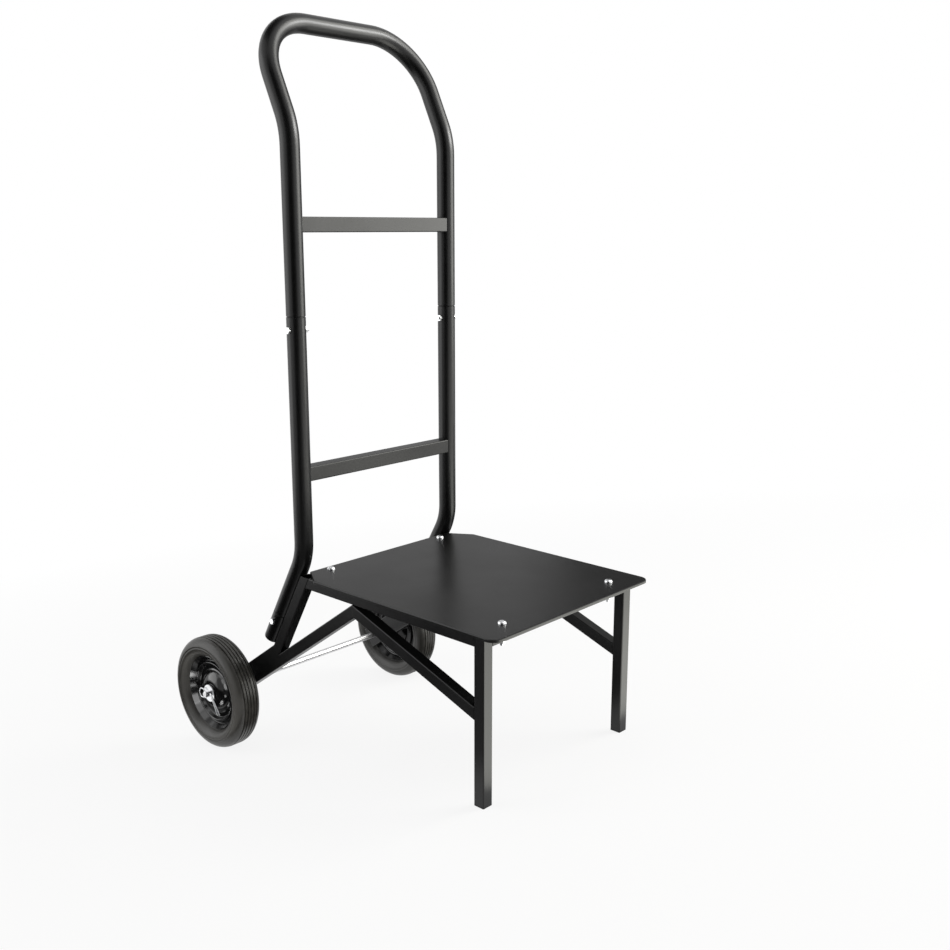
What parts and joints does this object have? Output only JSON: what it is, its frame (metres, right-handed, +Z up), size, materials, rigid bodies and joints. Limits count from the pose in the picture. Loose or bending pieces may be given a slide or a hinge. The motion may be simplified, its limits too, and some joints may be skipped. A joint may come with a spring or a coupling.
{
  "type": "folding chair cart",
  "caption": "Upright wheeled hand cart for stacked folding chairs: bent-tube handle, braced square-tube base with a flat load plate, front legs and ribbed wheels on an axle.",
  "frame": {"origin": "middle of the footprint's bounding box, on the floor under the resting cart", "axes": "+X across the cart along the axle, +Y from the front legs towards the wheels, +Z up"},
  "size_m": [0.512, 0.7988, 1.2628],
  "materials": {
    "frame_paint": "satin black powder coat",
    "plate_paint": "satin black powder coat, fine texture",
    "zinc": "bright zinc plate",
    "axle_steel": "bright drawn steel",
    "tyre": "matte dark grey rubber",
    "rim_paint": "gloss black",
    "bush_nylon": "moulded nylon",
    "plug_plastic": "moulded plastic"
  },
  "bodies": {
    "frame": {"axle": "axle_steel", "axle_spacers": "zinc", "axle_washers": "zinc", "cotter_pins": "zinc", "front_cross_rail": "frame_paint", "handle_bolts": "zinc", "handle_nuts": "zinc", "handle_tube": "frame_paint", "left_axle_arm": "frame_paint", "left_foot_plug": "plug_plastic", "left_front_leg": "frame_paint", "left_front_strut": "frame_paint", "left_lower_tube": "frame_paint", "left_rear_post": "frame_paint", "left_rear_strut": "frame_paint", "left_side_rail": "frame_paint", "left_stub_tube": "frame_paint", "load_plate": "plate_paint", "lower_crossbar": "frame_paint", "plate_bolts": "zinc", "plate_nuts": "zinc", "rear_cross_rail": "frame_paint", "right_axle_arm": "frame_paint", "right_foot_plug": "plug_plastic", "right_front_leg": "frame_paint", "right_front_strut": "frame_paint", "right_lower_tube": "frame_paint", "right_rear_post": "frame_paint", "right_rear_strut": "frame_paint", "right_side_rail": "frame_paint", "right_stub_tube": "frame_paint", "stub_bolts": "zinc", "stub_nuts": "zinc", "upper_crossbar": "frame_paint"},
    "left_wheel": {"left_hub_bush": "bush_nylon", "left_inner_rim": "rim_paint", "left_outer_rim": "rim_paint", "left_tyre": "tyre"},
    "right_wheel": {"right_hub_bush": "bush_nylon", "right_inner_rim": "rim_paint", "right_outer_rim": "rim_paint", "right_tyre": "tyre"}
  },
  "joints": [
    {"name": "left_wheel_spin", "type": "hinge", "parent": "frame", "child": "left_wheel", "pos_m": [-0.2275, 0.29437, 0.105], "axis": [1, 0, 0], "continuous": true},
    {"name": "right_wheel_spin", "type": "hinge", "parent": "frame", "child": "right_wheel", "pos_m": [0.2275, 0.29437, 0.105], "axis": [1, 0, 0], "continuous": true}
  ]
}
